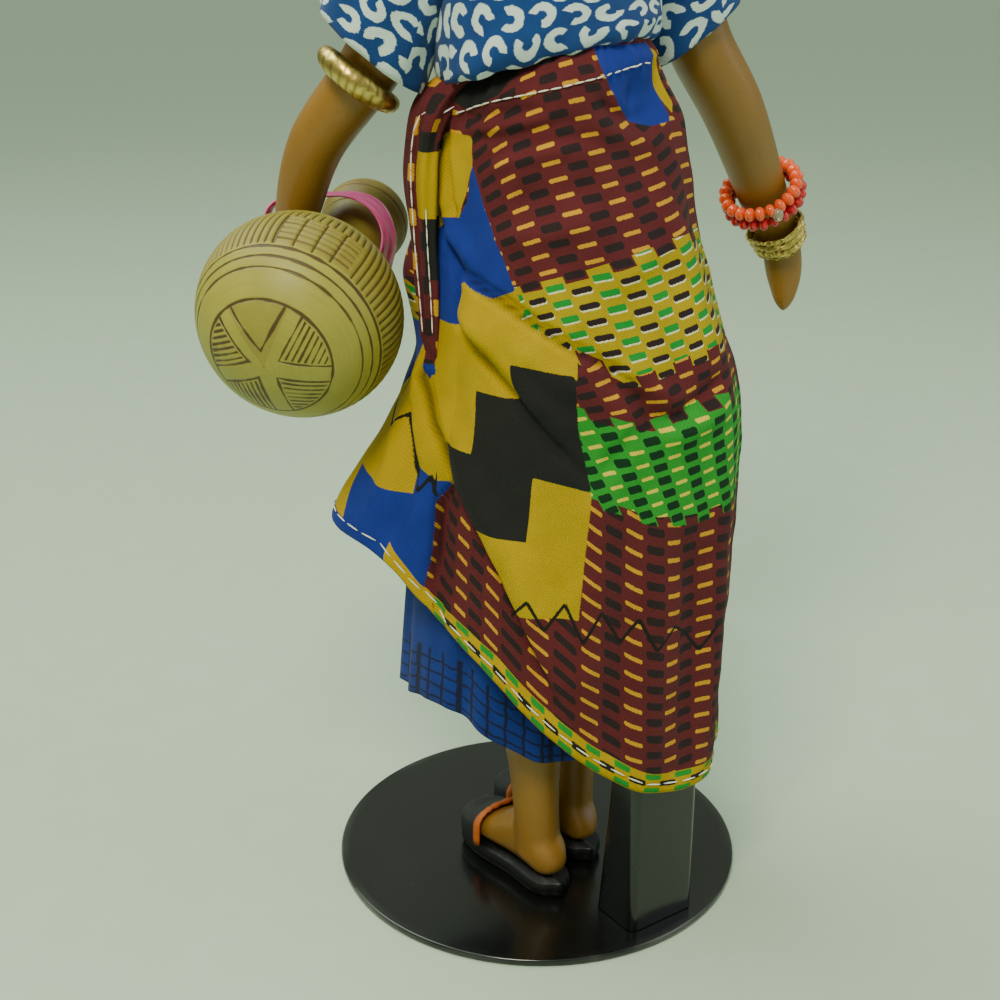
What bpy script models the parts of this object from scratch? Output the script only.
"""A dressed porcelain doll on its black stand.

Metres, +Z up. The origin is the centre of the stand's underside. The doll
faces -Y, so its left hand is at +X and the stand's post is behind it at +Y.
"""

import math

import bmesh
import bpy
from mathutils import Matrix, Vector

# Clearance between pieces that touch
GAP = 0.0003

# Stand
BASE_DIAMETER = 0.127
BASE_THICKNESS = 0.002
BASE_EDGE = 0.0006
POST_WIDTH = 0.024
POST_X = -0.0045
POST_RIM_GAP = 0.0061
POST_OUTER_Y = BASE_DIAMETER / 2 - POST_RIM_GAP
POST_FOOT_DEPTH = 0.0175
POST_TOP_DEPTH = 0.009
POST_TOP_Z = 0.160
POST_CORNER = 0.0025

# Feet, shoes and legs; y is measured from each heel's back towards the toes
FOOT_LENGTH = 0.045
FOOT_WIDTH = 0.0165
HEEL_WIDTH = 0.0125
SOLE_THICKNESS = 0.0050
SOLE_RIM = 0.0008
STRAP_THICKNESS = 0.0012
STRAP_START = 0.50
STRAP_END = 0.93
ANKLE_RADIUS = 0.0068
CALF_RADIUS = 0.0105
LEG_TOP_Z = 0.125
LEFT_HEEL = (0.0135, 0.0290)
RIGHT_HEEL = (-0.0060, 0.0195)
LEG_LEAN = 0.004

# Body levels
WAIST_Z = 0.238
SHOULDER_Z = 0.316
BLOUSE_TOP_Z = 0.3275
NECK_Z = 0.333
CHIN_Z = 0.346
HEAD_HEIGHT = 0.052
HEAD_WIDTH = 0.038
HEAD_DEPTH = 0.044
NECK_RADIUS = 0.0095
BODY_X = 0.007
BODY_Y = 0.012

# Cloth
CLOTH = 0.0016
UNDERSKIRT_CEILING_Z = LEG_TOP_Z + GAP
WRAP_TOP_Z = 0.2435
WRAP_TOP_LEAN = 0.0055
BLOUSE_HEM_LEAN = 0.0062

# Sleeves and arms
SLEEVE_RADIUS = 0.0138
SLEEVE_SLANT = 0.48
CUFF_RECESS = 0.018

# Gourd
GOURD_RADIUS = 0.0280
GOURD_SMALL_RADIUS = 0.0129
GOURD_NECK_RADIUS = 0.0078
GOURD_NECK_AT = 0.0335
GOURD_SMALL_AT = 0.0540
GOURD_CENTRE = Vector((0.0688, -0.0158, 0.1825))
GOURD_AXIS = Vector((-0.735, -0.613, 0.291)).normalized()
RIBBON_WIDTH = 0.0042
RIBBON_THICKNESS = 0.0008

# Jewellery
BEAD_DIAMETER = 0.0042
BEAD_COUNT = 22
BEAD_RING_RADIUS = 0.0112
BANGLE_INNER_RADIUS = 0.0089
BANGLE_TUBE = 0.0013
BANGLE_SWELL = 0.0015
BANGLE_AXIS = Vector((0.494, -0.341, -0.800)).normalized()
BANGLE_FACE = Vector((0.55, 0.80, 0.10)).normalized()
GOLD_CUFF_THICKNESS = 0.0010
GOLD_CUFF_LENGTH = 0.0075


def clear_scene():
    for obj in list(bpy.data.objects):
        bpy.data.objects.remove(obj)


def material(name, colour, roughness, metallic=0.0):
    mat = bpy.data.materials.get(name)
    if mat is None:
        mat = bpy.data.materials.new(name)
        mat.use_nodes = True
        shader = mat.node_tree.nodes["Principled BSDF"]
        shader.inputs["Base Color"].default_value = (*colour, 1.0)
        shader.inputs["Roughness"].default_value = roughness
        shader.inputs["Metallic"].default_value = metallic
    return mat


def black_plastic():
    return material("black_plastic", (0.012, 0.014, 0.013), 0.12)


def porcelain():
    return material("bisque_porcelain", (0.36, 0.19, 0.065), 0.45)


def printed_cotton():
    return material("printed_cotton", (0.45, 0.25, 0.05), 0.85)


def blue_cotton():
    return material("blue_cotton", (0.02, 0.08, 0.36), 0.85)


def gold():
    return material("gilt_brass", (0.62, 0.43, 0.14), 0.28, 1.0)


def add_object(name, bm, mat, smooth_angle=40.0):
    """One named object from a bmesh, shaded smooth below the angle."""
    bmesh.ops.recalc_face_normals(bm, faces=bm.faces)
    mesh = bpy.data.meshes.new(name)
    bm.to_mesh(mesh)
    bm.free()
    mesh.shade_smooth()
    mesh.set_sharp_from_angle(angle=math.radians(smooth_angle))
    mesh.materials.append(mat)
    obj = bpy.data.objects.new(name, mesh)
    bpy.context.collection.objects.link(obj)
    return obj


def loft(rings, close_path=False):
    """A closed surface through rings of equally many points."""
    bm = bmesh.new()
    loops = [[bm.verts.new(p) for p in ring] for ring in rings]
    count = len(loops[0])
    pairs = list(zip(loops, loops[1:]))
    if close_path:
        pairs.append((loops[-1], loops[0]))
    for a, b in pairs:
        for i in range(count):
            j = (i + 1) % count
            bm.faces.new((a[i], a[j], b[j], b[i]))
    if not close_path:
        for loop in (loops[0], loops[-1]):
            middle = bm.verts.new(sum((v.co for v in loop), Vector()) / count)
            for i in range(count):
                bm.faces.new((loop[i], loop[(i + 1) % count], middle))
    return bm


def ellipse_ring(centre, half_x, half_y, sides, power=2.0):
    """A level ring; a power over 2 squares its corners."""
    points = []
    for i in range(sides):
        a = 2 * math.pi * i / sides
        c, s = math.cos(a), math.sin(a)
        x = half_x * math.copysign(abs(c) ** (2 / power), c)
        y = half_y * math.copysign(abs(s) ** (2 / power), s)
        points.append(Vector((centre[0] + x, centre[1] + y, centre[2])))
    return points


def through(knots, value):
    """Smooth value at a place along knots of (place, value)."""
    if value <= knots[0][0]:
        return knots[0][1]
    if value >= knots[-1][0]:
        return knots[-1][1]
    k = 0
    while knots[k + 1][0] < value:
        k += 1

    def slope(i):
        low, high = max(i - 1, 0), min(i + 1, len(knots) - 1)
        return (knots[high][1] - knots[low][1]) / (knots[high][0] - knots[low][0])

    (p0, v0), (p1, v1) = knots[k], knots[k + 1]
    span = p1 - p0
    t = (value - p0) / span
    return ((1 + 2 * t) * (1 - t) ** 2 * v0 + t * (1 - t) ** 2 * span * slope(k)
            + t * t * (3 - 2 * t) * v1 + t * t * (t - 1) * span * slope(k + 1))


def union(target, other):
    """Joins other to target and leaves other as a helper."""
    other.hide_render = True
    other.display_type = "WIRE"
    cut = target.modifiers.new("join_" + other.name, "BOOLEAN")
    cut.operation = "UNION"
    cut.solver = "EXACT"
    cut.object = other


def subtract(target, other):
    other.hide_render = True
    other.display_type = "WIRE"
    cut = target.modifiers.new("cut_" + other.name, "BOOLEAN")
    cut.operation = "DIFFERENCE"
    cut.solver = "EXACT"
    cut.object = other


def curve_points(points, count):
    """Evenly counted points on a smooth curve through the given ones."""
    ends = [2 * points[0] - points[1], *points, 2 * points[-1] - points[-2]]
    found = []
    for i in range(count):
        t = i / (count - 1) * (len(points) - 1)
        k = min(int(t), len(points) - 2)
        f = t - k
        a, b, c, d = ends[k], ends[k + 1], ends[k + 2], ends[k + 3]
        found.append(
            0.5 * ((2 * b) + (c - a) * f + (2 * a - 5 * b + 4 * c - d) * f * f
                   + (3 * b - a - 3 * c + d) * f ** 3)
        )
    return found


def limb_rings(path, radii, side, sides=12, first=None):
    """Rings along a path; radii are (share, half width, half thickness) knots."""
    rings = []
    count = len(path)
    for i, p in enumerate(path):
        ahead = path[min(i + 1, count - 1)] - path[max(i - 1, 0)]
        if i == 0 and first is not None:
            ahead = first.copy()
        ahead.normalize()
        across = (side - ahead * side.dot(ahead)).normalized()
        over = ahead.cross(across)
        share = i / (count - 1)
        wide = through([(k[0], k[1]) for k in radii], share)
        thick = through([(k[0], k[2]) for k in radii], share)
        rings.append([
            p + across * (wide * math.cos(2 * math.pi * j / sides))
            + over * (thick * math.sin(2 * math.pi * j / sides))
            for j in range(sides)
        ])
    return rings


def along_axis(centre, axis, profile, sides):
    """Rings of a turned shape; profile holds (distance along, radius)."""
    turn = axis.to_track_quat("Z", "Y").to_matrix().to_4x4()
    place = Matrix.Translation(centre) @ turn
    return [
        [place @ p for p in ellipse_ring((0, 0, along), r, r, sides)]
        for along, r in profile
    ]


# Stand

def build_base():
    half = BASE_DIAMETER / 2
    profile = [
        (0.0, half - BASE_EDGE),
        (BASE_EDGE, half),
        (BASE_THICKNESS - BASE_EDGE, half),
        (BASE_THICKNESS, half - BASE_EDGE),
    ]
    rings = [ellipse_ring((0, 0, z), r, r, 48) for z, r in profile]
    add_object("stand_base", loft(rings), black_plastic())


def post_depth(z):
    """Front to back size of the post, thick at its foot."""
    return through([(0.0, POST_FOOT_DEPTH), (0.055, POST_TOP_DEPTH + 0.003),
                    (POST_TOP_Z, POST_TOP_DEPTH)], z)


def build_post():
    levels = [BASE_THICKNESS + GAP, 0.012, 0.024, 0.036, 0.055, 0.105,
              POST_TOP_Z - 0.002, POST_TOP_Z]
    rings = []
    for z in levels:
        inset = 0.002 if z == POST_TOP_Z else 0.0
        half_x = POST_WIDTH / 2 - inset
        depth = post_depth(z)
        low_y, high_y = POST_OUTER_Y - depth + inset, POST_OUTER_Y - inset
        ring = []
        for sx, sy, start in ((1, 1, 0), (-1, 1, 90), (-1, -1, 180), (1, -1, 270)):
            cx = POST_X + sx * (half_x - POST_CORNER)
            cy = (high_y if sy > 0 else low_y) - sy * POST_CORNER
            for step in (0, 45, 90):
                a = math.radians(start + step)
                ring.append(Vector((cx + POST_CORNER * math.cos(a),
                                    cy + POST_CORNER * math.sin(a), z)))
        rings.append(ring)
    add_object("stand_post", loft(rings), black_plastic())


# Feet and legs

def foot_half_width(share):
    """Half width of the foot from the heel (0) to the toes (1)."""
    return through([(-0.025, HEEL_WIDTH * 0.08), (0.0, HEEL_WIDTH * 0.27), (0.09, HEEL_WIDTH * 0.46),
                    (0.35, HEEL_WIDTH / 2), (0.70, FOOT_WIDTH / 2),
                    (0.90, FOOT_WIDTH * 0.40), (1.0, FOOT_WIDTH * 0.16)], share)


def foot_height(share):
    """Height of the top of the foot over the sole."""
    return through([(-0.025, 0.0060), (0.0, 0.0090), (0.10, 0.0135), (0.35, 0.017), (0.55, 0.0125),
                    (0.80, 0.0070), (0.95, 0.0052), (1.0, 0.0030)], share)


def foot_bottom(share):
    """The heel rounds up off the sole."""
    return through([(-0.025, 0.0044), (0.0, 0.0022), (0.06, 0.0004), (0.12, 0.0), (1.0, 0.0)], share)


def foot_ring(heel, share, grow, low, sides=12):
    """Upright ring across the foot, from the sole up."""
    half = foot_half_width(share) + grow
    low += foot_bottom(share)
    top = foot_height(share) - foot_bottom(share) + grow
    y = heel[1] - share * FOOT_LENGTH
    ring = []
    for i in range(sides):
        a = 2 * math.pi * i / sides
        c, s = math.cos(a), math.sin(a)
        x = half * math.copysign(abs(c) ** 0.8, c)
        z = low + top * 0.5 * (1 + math.copysign(abs(s) ** 0.75, s))
        ring.append(Vector((heel[0] + x, y, z)))
    return ring


def build_leg(side_name, heel):
    sole_top = BASE_THICKNESS + 2 * GAP + SOLE_THICKNESS
    shares = (-0.025, 0.0, 0.04, 0.12, 0.24, 0.38, 0.50, 0.61, 0.72, 0.82, 0.93, 1.0)
    foot = add_object(side_name + "_foot_shape",
                      loft([foot_ring(heel, s, 0.0, sole_top) for s in shares]),
                      porcelain())
    lean = LEG_LEAN if side_name == "left" else -LEG_LEAN
    ankle_y = heel[1] - 0.0095
    levels = [(sole_top + 0.0045, ANKLE_RADIUS * 0.98), (sole_top + 0.012, ANKLE_RADIUS * 0.98),
              (sole_top + 0.022, ANKLE_RADIUS), (sole_top + 0.036, ANKLE_RADIUS * 1.12),
              (sole_top + 0.060, CALF_RADIUS), (sole_top + 0.085, CALF_RADIUS * 0.98),
              (LEG_TOP_Z, CALF_RADIUS * 0.95)]
    rings = []
    for z, r in levels:
        rise = (z - sole_top) / (LEG_TOP_Z - sole_top)
        centre = (heel[0] + lean * rise, ankle_y - 0.004 * rise, z)
        rings.append(ellipse_ring(centre, r, r * 1.12, 16))
    leg = add_object(side_name + "_leg", loft(rings), porcelain())
    union(leg, foot)


def build_shoe(side_name, heel):
    """A black sole and an orange strap over the toes."""
    low = BASE_THICKNESS + GAP
    outline = []
    shares = (-0.06, -0.03, 0.03, 0.12, 0.35, 0.52, 0.70, 0.84, 0.93, 0.99, 1.03)
    for s in shares:
        outline.append((s, foot_half_width(s) + 0.0014))
    rings = []
    for z, inset in ((low, SOLE_RIM), (low + SOLE_RIM, 0.0),
                     (low + SOLE_THICKNESS - SOLE_RIM, 0.0), (low + SOLE_THICKNESS, SOLE_RIM)):
        left = [Vector((heel[0] + w - inset, heel[1] - s * FOOT_LENGTH, z)) for s, w in outline]
        right = [Vector((heel[0] - w + inset, heel[1] - s * FOOT_LENGTH, z))
                 for s, w in reversed(outline)]
        rings.append(left + right)
    sole = material("shoe_black", (0.010, 0.010, 0.014), 0.5)
    add_object(side_name + "_shoe_sole", loft(rings), sole)

    sole_top = low + SOLE_THICKNESS
    steps, arcs = 4, 8
    bm = bmesh.new()
    outer, inner = [], []
    for m in range(steps + 1):
        s = STRAP_START + (STRAP_END - STRAP_START) * m / steps
        for store, grow in ((outer, 2 * GAP + STRAP_THICKNESS), (inner, 2 * GAP)):
            half = foot_half_width(s) + grow
            arc = []
            for k in range(arcs + 1):
                a = math.pi * k / arcs
                c, si = math.cos(a), math.sin(a)
                x = half * math.copysign(abs(c) ** 0.8, c)
                lift = foot_height(s) * 0.5 * (1 + si ** 0.75) + grow * si
                z = sole_top + GAP + (0.0 if k in (0, arcs) else lift)
                arc.append(bm.verts.new((heel[0] + x, heel[1] - s * FOOT_LENGTH, z)))
            store.append(arc)
    for m in range(steps):
        for k in range(arcs):
            bm.faces.new((outer[m][k], outer[m][k + 1], outer[m + 1][k + 1], outer[m + 1][k]))
            bm.faces.new((inner[m][k + 1], inner[m][k], inner[m + 1][k], inner[m + 1][k + 1]))
        for k in (0, arcs):
            bm.faces.new((outer[m][k], outer[m + 1][k], inner[m + 1][k], inner[m][k]))
    for m in (0, steps):
        for k in range(arcs):
            bm.faces.new((outer[m][k], inner[m][k], inner[m][k + 1], outer[m][k + 1]))
    strap = material("strap_orange", (0.62, 0.17, 0.03), 0.6)
    add_object(side_name + "_shoe_strap", bm, strap)


# Skirts; angles run from the doll's left side (0) past its back (90)

WRAP_CENTRE = (0.002, 0.016)
# The levels below are for a post whose outer face is at this y; the cloth behind it moves with it
WRAP_POST_Y = 0.0574
WRAP_POST_ANGLE = 98
WRAP_POST_SPREAD = 56
WRAP_POST_FREE_Z = POST_TOP_Z + 0.03
HEM_KNOTS = [(0, 0.0965), (20, 0.0885), (36, 0.0780), (51, 0.0680), (66, 0.0590), (85, 0.0508),
             (110, 0.0483), (150, 0.0490), (190, 0.0530), (240, 0.0600), (275, 0.0730),
             (303, 0.1030), (320, 0.1195), (336, 0.1200), (348, 0.1150), (360, 0.0965)]
# Radius of the wrapper at each angle, from the waist down to the hem
WRAP_ANGLES = (0, 35, 65, 90, 113, 130, 150, 180, 215, 250, 285, 305, 325, 340, 360)
WRAP_LEVELS = (
    (0.247, (31, 28, 23, 20, 20, 20.5, 22, 25, 28, 28, 29, 32, 34, 34, 31)),
    (0.232, (33, 30, 25, 22.5, 24, 26.5, 29.5, 31, 32, 31, 32, 34, 36, 36, 33)),
    (0.205, (35, 34, 32, 31, 34, 33, 33, 34, 35, 35, 36, 37, 39, 38, 35)),
    (0.178, (37, 37, 39, 42, 45, 41.5, 39.5, 38, 39, 39.5, 40, 40.5, 41, 40, 37)),
    (0.158, (38, 40, 43, 46.5, 50, 47, 45, 40.5, 42, 43, 44, 45, 47, 44, 38)),
    (0.115, (42, 42, 44, 46.5, 50, 47, 45.5, 43, 45, 49, 52, 59, 71, 64, 42)),
    (0.070, (45, 43, 43, 45.5, 48.5, 45.5, 43.5, 43, 47, 51, 56, 64, 76, 70, 45)),
    (0.030, (46, 43, 43, 45.5, 48.5, 46, 44, 43.5, 49, 53, 58, 65, 78, 72, 46)),
)


def hem_z(angle):
    return through(HEM_KNOTS, angle % 360)


def wrap_radius(angle, z):
    """Radius of the wrapper's outer face, in metres; behind the post it goes where the post goes."""
    angle %= 360
    by_level = [
        (level, through(list(zip(WRAP_ANGLES, radii)), angle) / 1000)
        for level, radii in reversed(WRAP_LEVELS)
    ]
    away = min(1.0, abs(angle - WRAP_POST_ANGLE) / WRAP_POST_SPREAD)
    follows = (1 - max(0.0, 2 * away - 1)) if z < WRAP_POST_FREE_Z else 0.0
    return through(by_level, z) + follows * (POST_OUTER_Y - WRAP_POST_Y)


def top_z(angle):
    """The waist edge leans down towards the knot at the left front."""
    return WRAP_TOP_Z + WRAP_TOP_LEAN * math.cos(math.radians(angle - 140))


def wrap_point(angle, z, inset=0.0):
    r = wrap_radius(angle, z) - inset
    a = math.radians(angle)
    return Vector((WRAP_CENTRE[0] + r * math.cos(a), WRAP_CENTRE[1] + r * math.sin(a), z))


def build_wrapper():
    """The outer cloth: a tube from the waist to its slanting hem."""
    sides, rows = 36, 9
    angles = [360 * i / sides for i in range(sides)]
    rings = []
    for inset in (0.0, CLOTH):
        count = rows if inset == 0.0 else 5
        side_rings = []
        for k in range(count + 1):
            share = k / count
            side_rings.append([
                wrap_point(a, top_z(a) + (hem_z(a) - top_z(a)) * share, inset)
                for a in angles
            ])
        rings.extend(side_rings if inset == 0.0 else reversed(side_rings))
    add_object("wrapper", loft(rings, close_path=True), printed_cotton())


UNDER_LEVELS = ((0.2377, 0.0245, 0.0175, 0.005, 0.0115), (0.205, 0.0290, 0.0215, 0.005, 0.0095),
                (0.170, 0.0305, 0.0250, 0.005, 0.0060), (0.120, 0.0350, 0.0290, 0.006, 0.0040),
                (0.050, 0.0400, 0.0335, 0.006, 0.0025))
UNDER_HEM_KNOTS = [(0, 0.0690), (30, 0.0675), (46, 0.0606), (65, 0.0545), (90, 0.0525),
                   (180, 0.0530), (270, 0.0570), (330, 0.0650), (360, 0.0690)]


def under_ring(z, inset, sides=32, hem=False):
    """A level ring of the inner cloth, or its hem ring."""
    knots = list(reversed(UNDER_LEVELS))
    ring = []
    for i in range(sides):
        angle = 360 * i / sides
        level = through(UNDER_HEM_KNOTS, angle) if hem else z
        half_x = through([(k[0], k[1]) for k in knots], level) - inset
        half_y = through([(k[0], k[2]) for k in knots], level) - inset
        cx = through([(k[0], k[3]) for k in knots], level)
        cy = through([(k[0], k[4]) for k in knots], level)
        ring.append(ellipse_ring((cx, cy, level), half_x, half_y, sides, 2.3)[i])
    return ring


def build_underskirt():
    """The inner cloth, closed above the legs and open below."""
    levels = (WAIST_Z - GAP, 0.205, 0.170, 0.120, 0.090)
    rings = [under_ring(z, 0.0) for z in levels]
    rings.append(under_ring(0, 0.0, hem=True))
    rings.append(under_ring(0, CLOTH, hem=True))
    rings += [under_ring(z, CLOTH) for z in (0.090, UNDERSKIRT_CEILING_Z)]
    add_object("underskirt", loft(rings), blue_cotton())


def build_tail():
    """The end of the wrapper, pulled through at the waist and hanging."""
    points = [Vector(p) for p in (
        (0.0320, 0.0040, 0.2365), (0.0375, 0.0020, 0.2320), (0.0400, 0.0020, 0.2220),
        (0.0405, 0.0030, 0.2050), (0.0402, 0.0040, 0.1880), (0.0405, 0.0050, 0.1700))]
    path = curve_points(points, 9)
    radii = [(0.0, 0.0040, 0.0022), (0.2, 0.0070, 0.0030), (0.45, 0.0066, 0.0028),
             (0.8, 0.0042, 0.0022), (1.0, 0.0016, 0.0014)]
    return add_object("tail_shape", loft(limb_rings(path, radii, Vector((0.3, 1.0, 0.0)), 10)),
                      printed_cotton())


# Blouse, arms and head

LEFT_CUFF = Vector((0.0461, -0.0117, 0.2475))
RIGHT_CUFF = Vector((-0.0462, 0.0102, 0.2496))
LEFT_SHOULDER = Vector((BODY_X + 0.027, BODY_Y, SHOULDER_Z - 0.004))
RIGHT_SHOULDER = Vector((BODY_X - 0.027, BODY_Y, SHOULDER_Z - 0.004))

# Height, half width and half depth; the first two are tucked into the wrapper
BLOUSE_LEVELS = (
    (WAIST_Z, 0.0235, 0.0150), (0.2450, 0.0235, 0.0150), (0.2465, 0.0280, 0.0205),
    (0.2510, 0.0300, 0.0215), (0.265, 0.0305, 0.0220), (0.282, 0.0310, 0.0225),
    (0.298, 0.0330, 0.0225), (0.311, 0.0300, 0.0190), (0.321, 0.0235, 0.0150),
    (BLOUSE_TOP_Z, 0.0160, 0.0125),
)


def sleeve(name, shoulder, cuff, outward):
    """A sleeve whose edge slants up towards the outside of the arm."""
    path = curve_points([shoulder, shoulder.lerp(cuff, 0.5) + Vector((0, 0, 0.001)), cuff], 6)
    radii = [(0.0, 0.0120, 0.0125), (0.5, 0.0130, 0.0130), (1.0, SLEEVE_RADIUS, SLEEVE_RADIUS)]
    rings = limb_rings(path, radii, Vector((0, 1, 0)), 16)
    for ring, share in zip(rings[-2:], (0.6, 1.0)):
        middle = sum(ring, Vector()) / len(ring)
        for p in ring:
            p.z += SLEEVE_SLANT * share * (0.55 * SLEEVE_RADIUS + (p - middle).dot(outward))
    return add_object(name, loft(rings), blue_cotton())


def build_blouse():
    rings = []
    for z, a, b in BLOUSE_LEVELS:
        ring = ellipse_ring((BODY_X, BODY_Y, z), a, b, 24, 2.2)
        if WAIST_Z < z < 0.26:
            for p in ring:
                turn = math.atan2(p.y - BODY_Y, p.x - BODY_X)
                p.z += BLOUSE_HEM_LEAN * math.cos(turn - math.radians(125))
        rings.append(ring)
    blouse = add_object("blouse", loft(rings), blue_cotton())
    outward = Vector((0.82, -0.57, 0.0))
    for side_name, shoulder, cuff in (("left", LEFT_SHOULDER, LEFT_CUFF),
                                      ("right", RIGHT_SHOULDER, RIGHT_CUFF)):
        union(blouse, sleeve(side_name + "_sleeve_shape", shoulder, cuff, outward))
        outward = -outward
        along = (cuff - shoulder).normalized()
        start = cuff - along * CUFF_RECESS
        hole = along_axis(start, along, [(0.0, SLEEVE_RADIUS - 0.0035),
                                         (CUFF_RECESS + 0.004, SLEEVE_RADIUS - CLOTH)], 16)
        subtract(blouse, add_object(side_name + "_cuff_hole", loft(hole), blue_cotton()))


# Elbow, wrist, palm and finger tips
LEFT_ARM = [Vector(p) for p in (
    (0.0552, -0.0272, 0.2258), (0.0568, -0.0374, 0.2064), (0.0532, -0.0462, 0.1995),
    (0.0466, -0.0530, 0.1894), (0.0370, -0.0520, 0.1805))]
RIGHT_ARM = [Vector(p) for p in (
    (-0.0630, 0.0077, 0.2298), (-0.0824, 0.0017, 0.2041), (-0.0914, 0.0017, 0.1883),
    (-0.0949, 0.0015, 0.1760), (-0.0956, 0.0016, 0.1645))]


# Share of the arm's length, half width and half thickness
LEFT_ARM_RADII = [(0.0, 0.0084, 0.0084), (0.17, 0.0083, 0.0083), (0.33, 0.0077, 0.0076),
                  (0.50, 0.0066, 0.0062), (0.67, 0.0062, 0.0042), (0.83, 0.0058, 0.0034),
                  (1.0, 0.0022, 0.0016)]
RIGHT_ARM_RADII = [(0.0, 0.0092, 0.0092), (0.17, 0.0092, 0.0092), (0.33, 0.0090, 0.0088),
                   (0.50, 0.0076, 0.0072), (0.67, 0.0062, 0.0048), (0.83, 0.0055, 0.0038),
                   (1.0, 0.0022, 0.0016)]


def arm_path(shoulder, cuff, points, count):
    """The middle of an arm, from the recess in its cuff to the finger tips."""
    along = (cuff - shoulder).normalized()
    return curve_points([cuff - along * (CUFF_RECESS - GAP), cuff, *points], count), along


def build_arms():
    for name, shoulder, cuff, points, radii, side in (
            ("left_arm", LEFT_SHOULDER, LEFT_CUFF, LEFT_ARM, LEFT_ARM_RADII, (-0.4, -0.54, 0.64)),
            ("right_arm", RIGHT_SHOULDER, RIGHT_CUFF, RIGHT_ARM, RIGHT_ARM_RADII, (-0.82, 0.57, 0))):
        path, along = arm_path(shoulder, cuff, points, 16)
        rings = limb_rings(path, radii, Vector(side), 12, along)
        add_object(name, loft(rings), porcelain())


def head_radius(direction):
    """Egg-shaped head with a brow, nose, lips and chin; the face looks to -Y."""
    x, y, z = direction
    half = Vector((HEAD_WIDTH / 2, HEAD_DEPTH / 2, HEAD_HEIGHT / 2))
    base = 1 / math.sqrt((x / half.x) ** 2 + (y / half.y) ** 2 + (z / half.z) ** 2)
    if z < 0:
        base *= 1 - 0.10 * abs(x) * abs(z)
    front = max(0.0, -y)
    nose = math.exp(-((x / 0.13) ** 2 + ((z + 0.12) / 0.16) ** 2)) * 0.0042
    lips = math.exp(-((x / 0.20) ** 2 + ((z + 0.46) / 0.08) ** 2)) * 0.0016
    eyes = -math.exp(-(((abs(x) - 0.34) / 0.17) ** 2 + ((z - 0.08) / 0.11) ** 2)) * 0.0016
    chin = math.exp(-((x / 0.30) ** 2 + ((z + 0.80) / 0.16) ** 2)) * 0.0014
    return base + front * (nose + lips + eyes + chin)


def build_head():
    centre = Vector((BODY_X, BODY_Y - 0.004, CHIN_Z + HEAD_HEIGHT / 2))
    rings = []
    rows, sides = 13, 20
    for k in range(1, rows):
        tilt = math.pi * k / rows
        ring = []
        for i in range(sides):
            a = 2 * math.pi * i / sides
            d = Vector((math.sin(tilt) * math.cos(a), math.sin(tilt) * math.sin(a), math.cos(tilt)))
            ring.append(centre + d * head_radius(d))
        rings.append(ring)
    head = add_object("head", loft(rings), porcelain())
    neck = loft([ellipse_ring((BODY_X, BODY_Y + dy, z), r, r, 20) for z, r, dy in (
        (BLOUSE_TOP_Z + GAP, NECK_RADIUS * 1.30, 0.0), (NECK_Z, NECK_RADIUS * 1.04, 0.0),
        (CHIN_Z, NECK_RADIUS * 0.95, -0.001), (CHIN_Z + 0.012, NECK_RADIUS * 0.95, -0.002))])
    union(head, add_object("neck_shape", neck, porcelain()))


def build_head_tie():
    """A cloth wound round the hair, with a twist on top."""
    centre = Vector((BODY_X, BODY_Y - 0.002, CHIN_Z + HEAD_HEIGHT * 0.70))
    outer, inner = [], []
    sides = 20
    for level, grow in ((-0.004, 0.0022), (0.002, 0.0040), (0.009, 0.0058), (0.016, 0.0062),
                        (0.0225, 0.0045), (0.0275, -0.0030), (0.0300, -0.0120)):
        half_x, half_y = HEAD_WIDTH / 2 + grow, HEAD_DEPTH / 2 + grow
        ring = ellipse_ring((centre.x, centre.y + 0.001, centre.z + level), half_x, half_y, sides)
        for p in ring:
            p.z += 0.0055 * (centre.y - p.y) / half_y
        outer.append(ring)
    for level, grow in ((0.0160, -0.0115), (0.0130, -0.0040), (0.0060, 0.0006), (-0.004, 0.0012)):
        ring = ellipse_ring((centre.x, centre.y - 0.001, centre.z + level),
                            HEAD_WIDTH / 2 + grow, HEAD_DEPTH / 2 + grow, sides)
        for p in ring:
            p.z += 0.0055 * (centre.y - p.y) / (HEAD_DEPTH / 2)
        inner.append(ring)
    tie = add_object("head_tie", loft(outer[::-1] + inner[::-1]), printed_cotton())
    knot = [ellipse_ring((centre.x, centre.y + 0.001, centre.z + z), r, r * 0.8, 16)
            for z, r in ((0.022, 0.0110), (0.028, 0.0125), (0.032, 0.0095), (0.0345, 0.0045))]
    union(tie, add_object("tie_knot_shape", loft(knot), printed_cotton()))


# What the doll holds and wears

def gourd_profile():
    """Radius of the gourd along its axis, from its base to its tip."""
    profile = []
    for k in range(10):
        a = math.pi * (k + 0.35) / 13
        profile.append((-GOURD_RADIUS * 0.93 * math.cos(a), GOURD_RADIUS * math.sin(a)))
    profile += [(GOURD_NECK_AT - 0.0070, 0.0108), (GOURD_NECK_AT, GOURD_NECK_RADIUS),
                (GOURD_NECK_AT + 0.0070, 0.0098)]
    for k in range(6):
        a = math.radians(65 + 21 * k)
        profile.append((GOURD_SMALL_AT - GOURD_SMALL_RADIUS * 0.95 * math.cos(a),
                        GOURD_SMALL_RADIUS * math.sin(a)))
    return profile


def build_gourd():
    rings = along_axis(GOURD_CENTRE, GOURD_AXIS, gourd_profile(), 24)
    add_object("gourd", loft(rings), material("carved_gourd", (0.46, 0.38, 0.14), 0.55))


def ring_frame(centre, axis):
    return Matrix.Translation(centre) @ axis.to_track_quat("Z", "Y").to_matrix().to_4x4()


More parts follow.
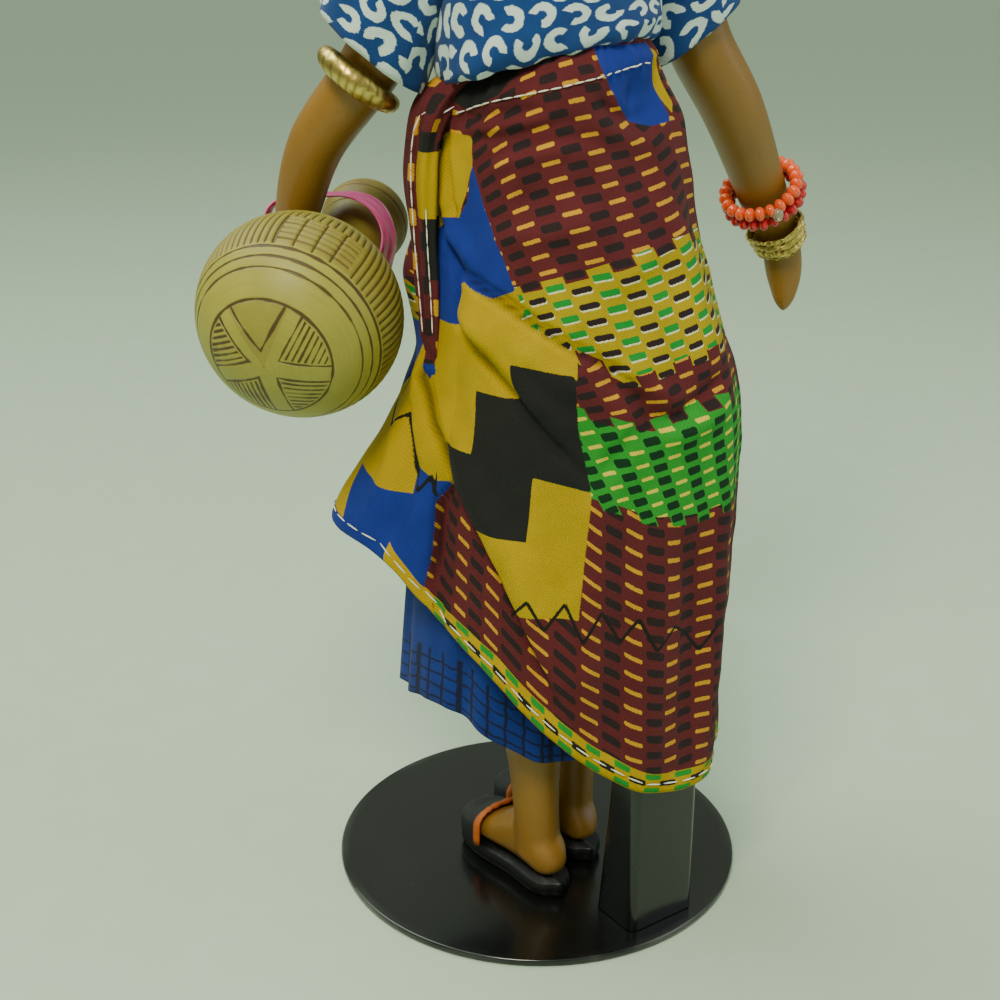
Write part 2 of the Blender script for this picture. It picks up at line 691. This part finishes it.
def build_ribbon():
    """A flat loop pulled tight round the gourd's neck and the doll's wrist."""
    hand = (LEFT_ARM[3] - LEFT_ARM[1]).normalized()
    neck = GOURD_CENTRE + GOURD_AXIS * (GOURD_NECK_AT + 0.0015)
    frame = ring_frame(neck, (GOURD_AXIS + hand).normalized())
    inside = [(neck + GOURD_AXIS * (0.001 * t), GOURD_NECK_RADIUS + 0.00045 * abs(t) + 0.0005)
              for t in range(-7, 8)]
    count = 81
    path, along = arm_path(LEFT_SHOULDER, LEFT_CUFF, LEFT_ARM, count)
    for i in range(int(count * 0.44), count):
        inside.append((path[i], through([(k[0], k[1]) for k in LEFT_ARM_RADII], i / (count - 1))))
    circles = []
    for point, r in inside:
        local = frame.inverted() @ point
        beyond = max(0.0, abs(local.z) - RIBBON_WIDTH / 2)
        if beyond < r:
            circles.append((local.to_2d(), math.sqrt(r * r - beyond * beyond) + 2 * GAP))
    rings = []
    steps = 26
    for k in range(steps):
        a = 2 * math.pi * k / steps
        out = Vector((math.cos(a), math.sin(a)))
        centre, r = max(circles, key=lambda c: c[0].dot(out) + c[1])
        ring = []
        for z, grow in ((-0.5, 0.0), (-0.5, 1.0), (0.5, 1.0), (0.5, 0.0)):
            flat = centre + out * (r * 1.02 + grow * RIBBON_THICKNESS)
            ring.append(frame @ Vector((flat.x, flat.y, z * RIBBON_WIDTH)))
        rings.append(ring)
    add_object("ribbon", loft(rings, close_path=True),
               material("pink_ribbon", (0.72, 0.10, 0.32), 0.4))


def torus_rings(centre, axis, radius_at, tube_at, steps, sides):
    """Rings round a closed loop whose size varies along it."""
    place = ring_frame(centre, axis)
    rings = []
    for i in range(steps):
        a = 2 * math.pi * i / steps
        facing = (place.to_3x3() @ Vector((math.cos(a), math.sin(a), 0))).dot(BANGLE_FACE)
        tube = tube_at(i, facing)
        ring = []
        for j in range(sides):
            b = 2 * math.pi * j / sides
            r = radius_at(tube) + tube * math.cos(b)
            ring.append(place @ Vector((r * math.cos(a), r * math.sin(a), tube * math.sin(b))))
        rings.append(ring)
    return rings


def build_jewellery():
    bangle = torus_rings(LEFT_CUFF.lerp(LEFT_ARM[0], 0.22), BANGLE_AXIS,
                         lambda tube: BANGLE_INNER_RADIUS + tube,
                         lambda i, facing: BANGLE_TUBE + BANGLE_SWELL * max(0.0, facing), 24, 8)
    add_object("left_bangle", loft(bangle, close_path=True), gold())

    wrist = RIGHT_ARM[1]
    axis = (RIGHT_ARM[0] - wrist).normalized()
    for name, along, colour in (("orange_beads", 0.0008, (0.80, 0.13, 0.02)),
                                ("red_beads", -0.0034, (0.55, 0.02, 0.03))):
        rings = torus_rings(wrist + axis * along, axis, lambda tube: BEAD_RING_RADIUS,
                            lambda i, facing: BEAD_DIAMETER / 2 * (0.62 if i % 2 else 1.0),
                            2 * BEAD_COUNT, 6)
        add_object(name, loft(rings, close_path=True), material(name, colour, 0.2))

    axis = (wrist - RIGHT_ARM[2]).normalized()
    centre = RIGHT_ARM[2] + axis * 0.0012
    half = GOLD_CUFF_LENGTH / 2
    inner = [(-half, 0.0067), (half, 0.0079)]
    outer = [(z, r + GOLD_CUFF_THICKNESS) for z, r in reversed(inner)]
    rings = along_axis(centre, axis, inner + outer, 20)
    add_object("right_gold_cuff", loft(rings, close_path=True), gold())


def main():
    clear_scene()
    build_base()
    build_post()
    for side_name, heel in (("left", LEFT_HEEL), ("right", RIGHT_HEEL)):
        build_leg(side_name, heel)
        build_shoe(side_name, heel)
    build_underskirt()
    build_wrapper()
    union(bpy.data.objects["wrapper"], build_tail())
    build_blouse()
    build_arms()
    build_head()
    build_head_tie()
    build_gourd()
    build_ribbon()
    build_jewellery()


main()
